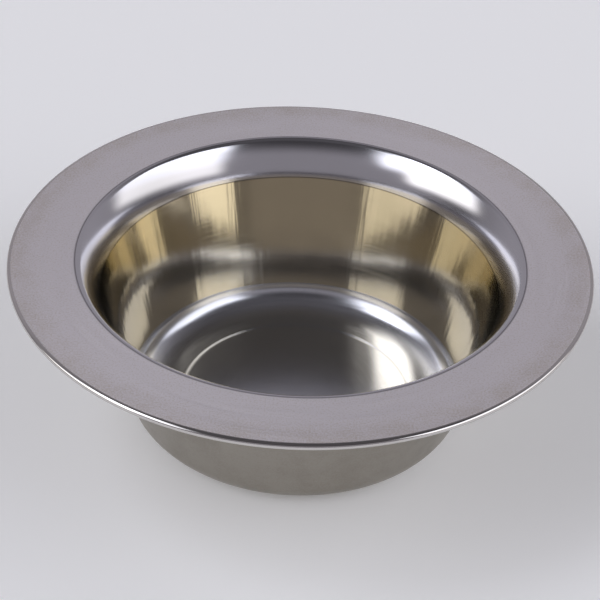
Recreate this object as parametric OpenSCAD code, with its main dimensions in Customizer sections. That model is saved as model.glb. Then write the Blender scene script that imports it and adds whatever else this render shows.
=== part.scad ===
// Shaving bowl: one dish spun from a single disc of stainless steel, with a wide flat rim.
// It is a solid of revolution about Z. The origin is at the centre of the ring it stands on.
// The sheet keeps its thickness in the rim and is drawn thinner in the wall and the floor.

/* [Rim] */
// Overall diameter of the rim
rim_d = 120; // [100:1:150]
// Thickness of the sheet in the flat rim
sheet_t = 1.3; // [0.8:0.1:2]
// Diameter at which the flat rim starts to turn down into the well
mouth_d = 92.3; // [76:0.1:112]
// Radius of the soft ease between the flat rim and its rounded edge
edge_ease_r = 2; // [1:0.1:4]
// Angle that the ease turns through before the full round begins
edge_ease_angle = 13; // [4:1:20]

/* [Well] */
// Overall height, from the standing ring to the top of the rim
bowl_h = 37.3; // [30:0.1:46]
// Thickness of the sheet in the wall and the floor
wall_t = 0.9; // [0.6:0.1:1.3]
// Radius in the angle under the rim, on the underside of the sheet
under_lip_r = 0.2; // [0.1:0.1:2]
// Slope at which the tight lip gives way to the long shoulder
lip_angle = 47; // [30:1:60]
// Radius of the polished shoulder, on the inside of the well
shoulder_r = 16; // [6:0.5:22]
// How far the wall leans out from the vertical
wall_lean = 14.4; // [4:0.1:22]

/* [Base] */
// Radius of the heel at the foot of the wall, on the inside of the well
heel_r = 5; // [1.5:0.1:9]
// Slope at which the heel gives way to the wider dish of the floor
heel_angle = 22; // [10:1:55]
// Radius of the dish between the heel and the standing ring, on the inside of the well
dish_r = 12; // [4:0.1:24]
// Width of the flat ring that the bowl stands on
foot_w = 2.4; // [1:0.1:4]
// How far the middle of the floor is pressed up inside that ring
panel_rise = 0.15; // [0.05:0.05:0.8]
// Smaller radius of the two bends at the edge of the pressed-up middle
panel_bend_r = 3; // [1:0.1:5]

/* [Hidden] */
$fn = 180;

// Largest turn between neighbouring points of a bend, in degrees
bend_step = 4;

rim_r = rim_d / 2;
mouth_r = mouth_d / 2;
lip_r = under_lip_r + sheet_t;
wall_angle = 90 - wall_lean;
wide_bend_r = panel_bend_r + wall_t;
panel_angle = acos(1 - panel_rise / (panel_bend_r + wide_bend_r));

// The round is what is left of the sheet's thickness below the ease
edge_round_r = (sheet_t - edge_ease_r * (1 - cos(edge_ease_angle))) / (1 + cos(edge_ease_angle));
ease_start_r = rim_r - edge_round_r - (edge_ease_r - edge_round_r) * sin(edge_ease_angle);

// The straight wall takes up the height that the bends leave
lip_drop = lip_r * (1 - cos(lip_angle));
shoulder_drop = shoulder_r * (cos(lip_angle) - cos(wall_angle));
heel_drop = heel_r * (cos(heel_angle) - cos(wall_angle));
dish_drop = dish_r * (1 - cos(heel_angle));
wall_drop = bowl_h - wall_t - lip_drop - shoulder_drop - heel_drop - dish_drop;
wall_len = wall_drop / sin(wall_angle);

// A station is [point, slope, t]: a point [radius, height] on the upper face of the sheet,
// the angle below the horizontal at which that face runs there, on its way to the axis, and
// the thickness of the sheet there.
function upward(slope) = [-sin(slope), cos(slope)];
function inward(slope) = [-cos(slope), -sin(slope)];
function end_of(stations) = stations[len(stations) - 1][0];

// Stations round a bend of radius r, in which the thickness goes from t_a to t_b. The bend
// turns downwards where slope_b is the larger.
function bend(start, slope_a, slope_b, r, t_a, t_b) =
    let (turn = slope_b - slope_a, steps = ceil(abs(turn) / bend_step))
    [for (i = [0:steps])
        let (slope = slope_a + turn * i / steps, t = t_a + (t_b - t_a) * i / steps)
        [start + sign(turn) * r * (upward(slope) - upward(slope_a)), slope, t]];

lip = bend([mouth_r, bowl_h], 0, lip_angle, lip_r, sheet_t, sheet_t);
shoulder = bend(end_of(lip), lip_angle, wall_angle, shoulder_r, sheet_t, wall_t);
wall_foot = end_of(shoulder) + wall_len * inward(wall_angle);
heel = bend(wall_foot, wall_angle, heel_angle, heel_r, wall_t, wall_t);
dish = bend(end_of(heel), heel_angle, 0, dish_r, wall_t, wall_t);
foot_inner = end_of(dish) + foot_w * inward(0);
panel_rising = bend(foot_inner, 0, -panel_angle, panel_bend_r, wall_t, wall_t);
panel_level = bend(end_of(panel_rising), -panel_angle, 0, wide_bend_r, wall_t, wall_t);
centre = [[0, end_of(panel_level)[1]], 0, wall_t];

stations = concat(lip, shoulder, heel, dish, panel_rising, panel_level, [centre]);
upper_face = [for (s = stations) s[0]];
lower_face = [for (i = [len(stations) - 1:-1:0])
    stations[i][0] - stations[i][2] * upward(stations[i][1])];

// Points round an arc, between two angles measured from straight up towards the outside
function outer_arc(middle, r, from, to) =
    let (steps = ceil(abs(to - from) / bend_step))
    [for (i = [0:steps])
        let (a = from + (to - from) * i / steps)
        middle + r * [sin(a), cos(a)]];

ease_middle = [ease_start_r, bowl_h - edge_ease_r];
round_middle = [rim_r - edge_round_r, bowl_h - sheet_t + edge_round_r];
rim_edge = concat(
    outer_arc(round_middle, edge_round_r, 180, edge_ease_angle),
    outer_arc(ease_middle, edge_ease_r, edge_ease_angle, 0));

module bowl() {
    color("silver")
        rotate_extrude()
            polygon(concat(upper_face, lower_face, rim_edge));
}

bowl();
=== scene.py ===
import math

import bpy
from mathutils import Matrix, Vector


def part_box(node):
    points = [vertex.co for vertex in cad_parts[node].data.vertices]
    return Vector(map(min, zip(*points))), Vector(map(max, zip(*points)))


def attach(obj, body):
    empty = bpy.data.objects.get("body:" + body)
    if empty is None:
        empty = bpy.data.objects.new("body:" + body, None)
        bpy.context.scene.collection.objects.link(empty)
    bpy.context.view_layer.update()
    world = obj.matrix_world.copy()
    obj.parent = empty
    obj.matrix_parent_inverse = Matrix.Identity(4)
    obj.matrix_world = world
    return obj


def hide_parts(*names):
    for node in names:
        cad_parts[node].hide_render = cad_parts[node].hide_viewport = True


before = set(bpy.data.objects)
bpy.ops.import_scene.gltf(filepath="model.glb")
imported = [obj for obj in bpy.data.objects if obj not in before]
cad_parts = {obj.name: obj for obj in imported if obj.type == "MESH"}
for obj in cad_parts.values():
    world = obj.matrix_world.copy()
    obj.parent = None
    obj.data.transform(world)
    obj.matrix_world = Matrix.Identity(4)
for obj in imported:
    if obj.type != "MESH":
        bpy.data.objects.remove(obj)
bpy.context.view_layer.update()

# ---------------------------------------------------------------- sizes, in metres and degrees
MM = 0.001
low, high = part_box("bowl")
RIM_R = (high[0] - low[0]) / 2
BOWL_H = high[2]
FLOOR_Z = low[2]

MOUTH_R = 46.15 * MM
EDGE_EASE_R = 2.0 * MM
EDGE_EASE_ANGLE = 13
SHEET_T = 1.3 * MM
WALL_T = 0.9 * MM
UNDER_LIP_R = 0.2 * MM
LIP_ANGLE = 47
SHOULDER_R = 16.0 * MM
WALL_LEAN = 14.4
HEEL_R = 5.0 * MM
HEEL_ANGLE = 22
DISH_R = 12.0 * MM
FOOT_W = 2.4 * MM
PANEL_RISE = 0.15 * MM
PANEL_BEND_R = 3.0 * MM

# How finely the section is spun, and the largest turn between points of a bend
SEGMENTS = 360
BEND_STEP = 2.0

# Points of the section closer than this are one point, or lie on the axis
SAME_POINT = 1e-7
ON_AXIS = 1e-6


# ---------------------------------------------------------------- section of the sheet
def sind(a):
    return math.sin(math.radians(a))


def cosd(a):
    return math.cos(math.radians(a))


def upward(slope):
    """The way out of the upper face, as (radius, height), where that face runs down at slope
    on its way to the axis."""
    return Vector((-sind(slope), cosd(slope)))


def inward(slope):
    """The way along the upper face towards the axis."""
    return Vector((-cosd(slope), -sind(slope)))


LIP_R = UNDER_LIP_R + SHEET_T
WALL_ANGLE = 90 - WALL_LEAN
WIDE_BEND_R = PANEL_BEND_R + WALL_T
PANEL_ANGLE = math.degrees(math.acos(1 - PANEL_RISE / (PANEL_BEND_R + WIDE_BEND_R)))
EDGE_ROUND_R = (SHEET_T - EDGE_EASE_R * (1 - cosd(EDGE_EASE_ANGLE))) / (1 + cosd(EDGE_EASE_ANGLE))
EASE_START_R = RIM_R - EDGE_ROUND_R - (EDGE_EASE_R - EDGE_ROUND_R) * sind(EDGE_EASE_ANGLE)

# The straight wall takes up the height that the bends leave
THROAT_DROP = LIP_R * (1 - cosd(LIP_ANGLE)) + SHOULDER_R * (cosd(LIP_ANGLE) - cosd(WALL_ANGLE))
FOOT_DROP = HEEL_R * (cosd(HEEL_ANGLE) - cosd(WALL_ANGLE)) + DISH_R * (1 - cosd(HEEL_ANGLE))
WALL_LEN = (BOWL_H - WALL_T - THROAT_DROP - FOOT_DROP) / sind(WALL_ANGLE)
THROAT_Z = BOWL_H - THROAT_DROP


def bend(start, slope_a, slope_b, r, t_a=WALL_T, t_b=WALL_T):
    """Stations (point, slope, thickness) round a bend of the upper face, from start."""
    turn = slope_b - slope_a
    steps = max(4, math.ceil(abs(turn) / BEND_STEP))
    side = math.copysign(1, turn)
    out = []
    for i in range(steps + 1):
        slope = slope_a + turn * i / steps
        point = start + side * r * (upward(slope) - upward(slope_a))
        out.append((point, slope, t_a + (t_b - t_a) * i / steps))
    return out


def straight(start, end, slope, steps, t=WALL_T):
    return [(start.lerp(end, i / steps), slope, t) for i in range(steps + 1)]


def outer_arc(middle, r, start, stop, steps):
    """(point, normal) pairs round an arc. Its angles are from straight up, outwards."""
    out = []
    for i in range(steps + 1):
        a = start + (stop - start) * i / steps
        n = Vector((sind(a), cosd(a)))
        out.append((middle + r * n, n))
    return out


def upper_face():
    """Zones of the upper face: name, then stations, from the outside of the flat rim to the
    axis."""
    rim = straight(Vector((EASE_START_R, BOWL_H)), Vector((MOUTH_R, BOWL_H)), 0, 8, SHEET_T)
    lip = bend(rim[-1][0], 0, LIP_ANGLE, LIP_R, SHEET_T, SHEET_T)
    shoulder = bend(lip[-1][0], LIP_ANGLE, WALL_ANGLE, SHOULDER_R, SHEET_T, WALL_T)
    throat = shoulder[-1][0]
    wall = straight(throat, throat + WALL_LEN * inward(WALL_ANGLE), WALL_ANGLE, 12)
    heel = bend(wall[-1][0], WALL_ANGLE, HEEL_ANGLE, HEEL_R)
    dish = bend(heel[-1][0], HEEL_ANGLE, 0, DISH_R)
    foot = straight(dish[-1][0], dish[-1][0] + FOOT_W * inward(0), 0, 3)
    rising = bend(foot[-1][0], 0, -PANEL_ANGLE, PANEL_BEND_R)
    level = bend(rising[-1][0], -PANEL_ANGLE, 0, WIDE_BEND_R)
    panel = straight(level[-1][0], Vector((0, level[-1][0].y)), 0, 16)
    floor = heel + dish[1:] + foot[1:] + rising[1:] + level[1:] + panel[1:]
    return [("rim", rim), ("shoulder", lip + shoulder[1:]), ("wall", wall), ("floor", floor)]


def section():
    """Zones of the closed outline: name, then (point, normal) pairs, going round the sheet
    from the outside of the flat rim, down the well to the axis, and back underneath."""
    upper = upper_face()
    zones = [(name, [(p, upward(s)) for p, s, _ in rows]) for name, rows in upper]

    stations = [station for _, rows in upper for station in rows]
    zones.append(("under", [(p - t * upward(s), -upward(s)) for p, s, t in reversed(stations)]))

    round_middle = Vector((RIM_R - EDGE_ROUND_R, BOWL_H - SHEET_T + EDGE_ROUND_R))
    ease_middle = Vector((EASE_START_R, BOWL_H - EDGE_EASE_R))
    edge = outer_arc(round_middle, EDGE_ROUND_R, 180, EDGE_EASE_ANGLE, 24)
    edge += outer_arc(ease_middle, EDGE_EASE_R, EDGE_EASE_ANGLE, 0, 6)[1:]
    zones.append(("edge", edge))
    return zones


def joined_outline(zones):
    """One closed list of (point, normal, zone), without the points that two zones share."""
    outline = []
    for zone, rows in zones:
        for p, n in rows:
            if not outline or (outline[-1][0] - p).length >= SAME_POINT:
                outline.append((p, n, zone))
    if (outline[0][0] - outline[-1][0]).length < SAME_POINT:
        outline.pop()
    return outline


def spun_points(outline):
    """Vertices and normals of the spun outline, and the first vertex of each of its points."""
    verts, normals, first = [], [], []
    for p, n, _ in outline:
        first.append(len(verts))
        if p.x < ON_AXIS:
            verts.append((0, 0, p.y))
            normals.append((0, 0, math.copysign(1, n.y)))
            continue
        for k in range(SEGMENTS):
            a = 2 * math.pi * k / SEGMENTS
            verts.append((p.x * math.cos(a), p.x * math.sin(a), p.y))
            normals.append((n.x * math.cos(a), n.x * math.sin(a), n.y))
    return verts, normals, first


def spun_faces(outline, first):
    """Faces between neighbouring points of the outline, each with its zone."""
    faces = []
    for i, (point, _, _) in enumerate(outline):
        j = (i + 1) % len(outline)
        next_point, _, zone = outline[j]
        pole_i, pole_j = point.x < ON_AXIS, next_point.x < ON_AXIS
        if pole_i and pole_j:
            continue
        for k in range(SEGMENTS):
            m = (k + 1) % SEGMENTS
            a, b = first[i] + (0 if pole_i else k), first[i] + (0 if pole_i else m)
            c, d = first[j] + (0 if pole_j else m), first[j] + (0 if pole_j else k)
            if pole_i:
                corners = (a, c, d)
            elif pole_j:
                corners = (a, b, c)
            else:
                corners = (a, b, c, d)
            faces.append((corners, zone))
    return faces


def lathe(name, zones, materials):
    """Spin the closed outline about Z into one mesh, with the section's normals on it."""
    outline = joined_outline(zones)
    verts, normals, first = spun_points(outline)
    faces = spun_faces(outline, first)
    mesh = bpy.data.meshes.new(name)
    mesh.from_pydata(verts, [], [corners for corners, _ in faces])
    order = list(materials)
    for zone in order:
        mesh.materials.append(materials[zone])
    for poly, (_, zone) in zip(mesh.polygons, faces):
        poly.material_index = order.index(zone)
        poly.use_smooth = True
    mesh.normals_split_custom_set_from_vertices(normals)
    mesh.update()
    piece = bpy.data.objects.new(name, mesh)
    bpy.context.scene.collection.objects.link(piece)
    return piece


# ---------------------------------------------------------------- materials
STEEL = (0.64, 0.617, 0.595)
SHADED_STEEL = (0.50, 0.45, 0.40)
# Colour of the painted shade lines: thin dark bands painted where the sheet bends, at the mouth
# and the throat
PAINTED_SHADE_LINE = (0.12, 0.11, 0.13, 1)

# Scales of the noises. Around is per unit circle about the axis, and the others per metre.
TURNING_AROUND = 2.5
TURNING_ALONG = 5000.0
WRINKLE_AROUND = 22.0
WRINKLE_ALONG = 40.0
CLOUD_SCALE = 160.0
WAVE_SCALE = 110.0
SPECK_SCALE = 2600.0

# Height of a full turning mark, in metres
TURNING_HEIGHT = 2e-6


class Nodes:
    """A short way to build a node tree."""

    def __init__(self, tree):
        self.tree = tree
        self.tree.nodes.clear()

    def add(self, kind, inputs=None, **settings):
        node = self.tree.nodes.new(kind)
        for key, value in settings.items():
            setattr(node, key, value)
        for key, value in (inputs or {}).items():
            self.put(node, key, value)
        return node

    def put(self, node, key, value):
        socket = node.inputs[key]
        if isinstance(value, bpy.types.NodeSocket):
            self.tree.links.new(value, socket)
        else:
            socket.default_value = value

    def math(self, operation, a, b=0.0):
        return self.add("ShaderNodeMath", {0: a, 1: b}, operation=operation).outputs[0]

    def ramp(self, value, a, b, low=0.0, high=1.0):
        node = self.add("ShaderNodeMapRange", {"Value": value, "From Min": a, "From Max": b,
                                               "To Min": low, "To Max": high},
                        interpolation_type="SMOOTHSTEP")
        return node.outputs[0]

    def noise(self, vector, scale, detail=3.0, roughness=0.5):
        node = self.add("ShaderNodeTexNoise", {"Vector": vector, "Scale": scale,
                                               "Detail": detail, "Roughness": roughness})
        return node.outputs["Fac"]

    def mix(self, factor, a, b):
        node = self.add("ShaderNodeMix", {0: factor}, data_type="RGBA")
        self.put(node, 6, a)
        self.put(node, 7, b)
        return node.outputs[2]


def new_material(name):
    material = bpy.data.materials.new(name)
    material.use_nodes = True
    return material, Nodes(material.node_tree)


def about_axis(n, x, y, r, z, around, along):
    """Coordinates that run round the axis at one scale and along the sheet at another."""
    safe = n.math("MAXIMUM", r, 1e-5)
    u = n.math("MULTIPLY", n.math("DIVIDE", x, safe), around)
    v = n.math("MULTIPLY", n.math("DIVIDE", y, safe), around)
    w = n.math("MULTIPLY", n.math("SUBTRACT", r, z), along)
    return n.add("ShaderNodeCombineXYZ", {0: u, 1: v, 2: w}).outputs[0]


def steel(name, rough, anisotropy, grain, mottle, wave, wrinkle=0.0, speck=0.0, tint=STEEL,
          dark=SHADED_STEEL, edge_wear=None, painted_shade_lines=()):
    """Stainless steel. grain, mottle and speck are how strong the turning marks, the cloudy
    patches and the fine dots are. wave and wrinkle are the heights of the sheet's slow waviness
    and of the upright wrinkles that drawing leaves in a wall. edge_wear is the range of radius
    in which the patches grow. Each painted shade line, a thin dark band painted into the colour,
    is (coordinate, start, stop, strength)."""
    material, n = new_material(name)
    place = n.add("ShaderNodeTexCoord").outputs["Object"]
    x, y, z = n.add("ShaderNodeSeparateXYZ", {0: place}).outputs
    r = n.math("SQRT", n.math("ADD", n.math("MULTIPLY", x, x), n.math("MULTIPLY", y, y)))
    turned = about_axis(n, x, y, r, z, TURNING_AROUND, TURNING_ALONG)
    upright = about_axis(n, x, y, r, z, WRINKLE_AROUND, WRINKLE_ALONG)
    turning = n.noise(turned, 1.0, 2.0)
    wrinkles = n.noise(upright, 1.0, 2.0)
    cloud = n.noise(place, CLOUD_SCALE, 4.0, 0.6)
    slow = n.noise(place, WAVE_SCALE, 1.0)
    dots = n.math("SUBTRACT", n.noise(place, SPECK_SCALE, 2.0, 0.6), 0.5)

    patch = n.math("MULTIPLY", n.ramp(cloud, 0.35, 0.75), mottle)
    if edge_wear:
        start, stop = edge_wear
        patch = n.math("ADD", patch, n.math("MULTIPLY", n.ramp(r, start, stop),
                                            n.ramp(cloud, 0.2, 0.8, 0.15, 0.5)))
    patch = n.math("ADD", patch, n.math("MULTIPLY", dots, speck))
    colour = n.mix(patch, (*tint, 1), (*dark, 1))
    # Painted shade: each line darkens the colour in a thin band of radius or height
    for along, start, stop, strength in painted_shade_lines:
        painted_shade_mask = n.ramp({"radius": r, "height": z}[along], start, stop, 0.0, strength)
        colour = n.mix(painted_shade_mask, colour, PAINTED_SHADE_LINE)

    spread = n.math("MULTIPLY", n.math("SUBTRACT", turning, 0.5), grain * 0.5)
    drift = n.math("MULTIPLY", n.math("SUBTRACT", cloud, 0.5), mottle * 0.25)
    roughness = n.math("ADD", n.math("ADD", rough, spread), drift)
    height = n.math("ADD", n.math("MULTIPLY", turning, grain * TURNING_HEIGHT),
                    n.math("MULTIPLY", slow, wave))
    height = n.math("ADD", height, n.math("MULTIPLY", wrinkles, wrinkle))
    bump = n.add("ShaderNodeBump", {"Strength": 1.0, "Distance": 1.0, "Height": height})
    tangent = n.add("ShaderNodeTangent", direction_type="RADIAL", axis="Z")
    shader = n.add("ShaderNodeBsdfPrincipled", {
        "Base Color": colour, "Metallic": 1.0, "Roughness": roughness,
        "Anisotropic": anisotropy, "Anisotropic Rotation": 0.25,
        "Tangent": tangent.outputs[0], "Normal": bump.outputs[0]})
    n.add("ShaderNodeOutputMaterial", {"Surface": shader.outputs[0]})
    return material


def bowl_materials():
    """The finish of each zone. A thin dark line of painted shade lies just outside the mouth,
    where the polish starts and the rim begins to bend down, and another just below the throat,
    where the polish ends."""
    return {
        # Painted light: the rim's colour is much paler and more lavender than the other steel, to
        # brighten the upward satin face; its grain, specks and edge patches are its own
        "rim": steel(
            "steel_satin_rim_painted_light", rough=0.60, anisotropy=0.2, grain=0.45, mottle=0.1, wave=2e-6,
            speck=2.2, tint=(0.89, 0.855, 0.87), dark=(0.70, 0.64, 0.58),
            edge_wear=(52 * MM, 58 * MM),
            # Painted shade: a dark band on the rim just outside the mouth, where the rim begins
            # to bend down
            painted_shade_lines=[("radius", MOUTH_R + 0.45 * MM, MOUTH_R + 0.05 * MM, 0.8)]),
        "shoulder": steel(
            "steel_polished_shoulder", rough=0.15, anisotropy=0.0, grain=0.02, mottle=0.05,
            wave=3.2e-5, tint=(0.62, 0.615, 0.64)),
        "wall": steel(
            "steel_spun_wall", rough=0.10, anisotropy=0.3, grain=0.2, mottle=0.1, wave=3.2e-5,
            wrinkle=3.4e-5, speck=0.3, tint=(0.66, 0.61, 0.49), dark=(0.5, 0.45, 0.37),
            # Painted shade: a dark band at the top of the wall, just below the throat
            painted_shade_lines=[("height", THROAT_Z - 0.4 * MM, THROAT_Z - 0.05 * MM, 0.75)]),
        "floor": steel(
            "steel_spun_floor", rough=0.21, anisotropy=0.3, grain=0.25, mottle=0.12, wave=1e-5,
            speck=0.3, tint=(0.61, 0.62, 0.655)),
        # Painted shade: the underside's colour is kept far darker than the other steel, for the
        # shade beneath the rim; its satin roughness, grain and cloudy patches are its own
        "under": steel(
            "steel_satin_underside_painted_shade", rough=0.34, anisotropy=0.3, grain=0.35, mottle=0.3,
            wave=6e-6, speck=0.7, tint=(0.37, 0.345, 0.305), dark=(0.24, 0.215, 0.175)),
        "edge": steel(
            "steel_polished_edge", rough=0.08, anisotropy=0.0, grain=0.03, mottle=0.05,
            wave=2e-6),
    }


# ---------------------------------------------------------------- studio
FLOOR_HALF = 3.0

COOL = (0.97, 0.99, 1.08, 1)
WARM = (1.0, 0.98, 0.97, 1)
ROOM = (1.0, 0.95, 1.05, 1)

# Soft lights as patches of the world: azimuth range (0 is behind the bowl, 90 to its right),
# elevation range, how softly the patch fades, in degrees, its strength and its colour
SOFT_LIGHTS = [
    (-137, -77, 29, 46, 6, 1.9, COOL),
    (-130, -70, 46, 57, 8, 2.5, COOL),
    (-106, -66, 54, 66, 5, 3.2, COOL),
    (-122, -78, 14, 29, 5, 1.9, WARM),
    (66, 134, 27, 43, 6, 1.6, COOL),
    (70, 134, 43, 51, 5, 2.3, COOL),
    (68, 134, 10, 27, 5, 1.2, WARM),
]


def floor_material():
    """Matt white that glows a little, as a light table does."""
    material, n = new_material("studio_floor")
    shader = n.add("ShaderNodeBsdfPrincipled", {
        "Base Color": (0.9, 0.9, 0.9, 1), "Roughness": 0.7,
        "Emission Color": (1, 1, 1, 1), "Emission Strength": 0.15})
    n.add("ShaderNodeOutputMaterial", {"Surface": shader.outputs[0]})
    return material


def studio_floor():
    corners = [(-1, -1), (1, -1), (1, 1), (-1, 1)]
    mesh = bpy.data.meshes.new("studio_floor")
    mesh.from_pydata([(x * FLOOR_HALF, y * FLOOR_HALF, FLOOR_Z) for x, y in corners], [],
                     [(0, 1, 2, 3)])
    mesh.materials.append(floor_material())
    obj = bpy.data.objects.new("studio_floor", mesh)
    bpy.context.scene.collection.objects.link(obj)


def studio_world():
    """A dim room, paler in front of and behind the bowl, with soft lights on each side."""
    world = bpy.data.worlds.new("studio")
    bpy.context.scene.world = world
    world.use_nodes = True
    n = Nodes(world.node_tree)
    way = n.add("ShaderNodeTexCoord").outputs["Generated"]
    x, y, z = n.add("ShaderNodeSeparateXYZ", {0: way}).outputs

    def glow(strength, colour):
        return n.add("ShaderNodeBackground", {"Color": colour, "Strength": strength}).outputs[0]

    def between(angle, start, stop, fade):
        return n.math("MULTIPLY", n.ramp(angle, start - fade, start + fade),
                      n.ramp(angle, stop - fade, stop + fade, 1.0, 0.0))

    azimuth = n.math("MULTIPLY", n.math("ARCTAN2", x, y), 180 / math.pi)
    elevation = n.math("MULTIPLY", n.math("ARCSINE", z), 180 / math.pi)
    back = n.math("MULTIPLY", n.ramp(y, -0.2, 0.7), n.ramp(elevation, 35, 65, 0.31, 0.0))
    front = n.math("MULTIPLY", n.ramp(y, -0.5, 0.1, 1.0, 0.0),
                   n.ramp(elevation, 31, 53, 0.26, 0.0))
    above = n.ramp(elevation, 52, 76, 0.055, 0.1)
    total = glow(n.math("ADD", n.math("ADD", back, front), above), ROOM)
    for az_a, az_b, el_a, el_b, fade, strength, colour in SOFT_LIGHTS:
        patch = n.math("MULTIPLY", between(azimuth, az_a, az_b, fade),
                       between(elevation, el_a, el_b, fade))
        light = glow(n.math("MULTIPLY", patch, strength), colour)
        total = n.add("ShaderNodeAddShader", {0: total, 1: light}).outputs[0]
    n.add("ShaderNodeOutputWorld", {"Surface": total})


# The camera looks at the middle of the rim from in front and above
CAMERA_ELEVATION = 35.0
CAMERA_ROLL = 2.41
CAMERA_DISTANCE = 0.406


def camera():
    data = bpy.data.cameras.new("camera")
    data.sensor_width = 36.0
    data.lens = 118.7
    data.shift_x = -0.0021
    data.shift_y = -0.0748
    data.clip_start = 0.01
    data.clip_end = 20.0
    obj = bpy.data.objects.new("camera", data)
    target = Vector((0, 0, BOWL_H))
    away = Vector((0, -cosd(CAMERA_ELEVATION), sind(CAMERA_ELEVATION)))
    place = target + CAMERA_DISTANCE * away
    turn = (target - place).to_track_quat("-Z", "Y").to_matrix().to_4x4()
    roll = Matrix.Rotation(math.radians(CAMERA_ROLL), 4, "Z")
    obj.matrix_world = Matrix.Translation(place) @ turn @ roll
    bpy.context.scene.collection.objects.link(obj)
    bpy.context.scene.camera = obj


camera()
studio_world()
studio_floor()
bpy.context.scene.view_settings.view_transform = "Standard"

bowl = lathe("spun_bowl", section(), bowl_materials())
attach(bowl, "root")
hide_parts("bowl")
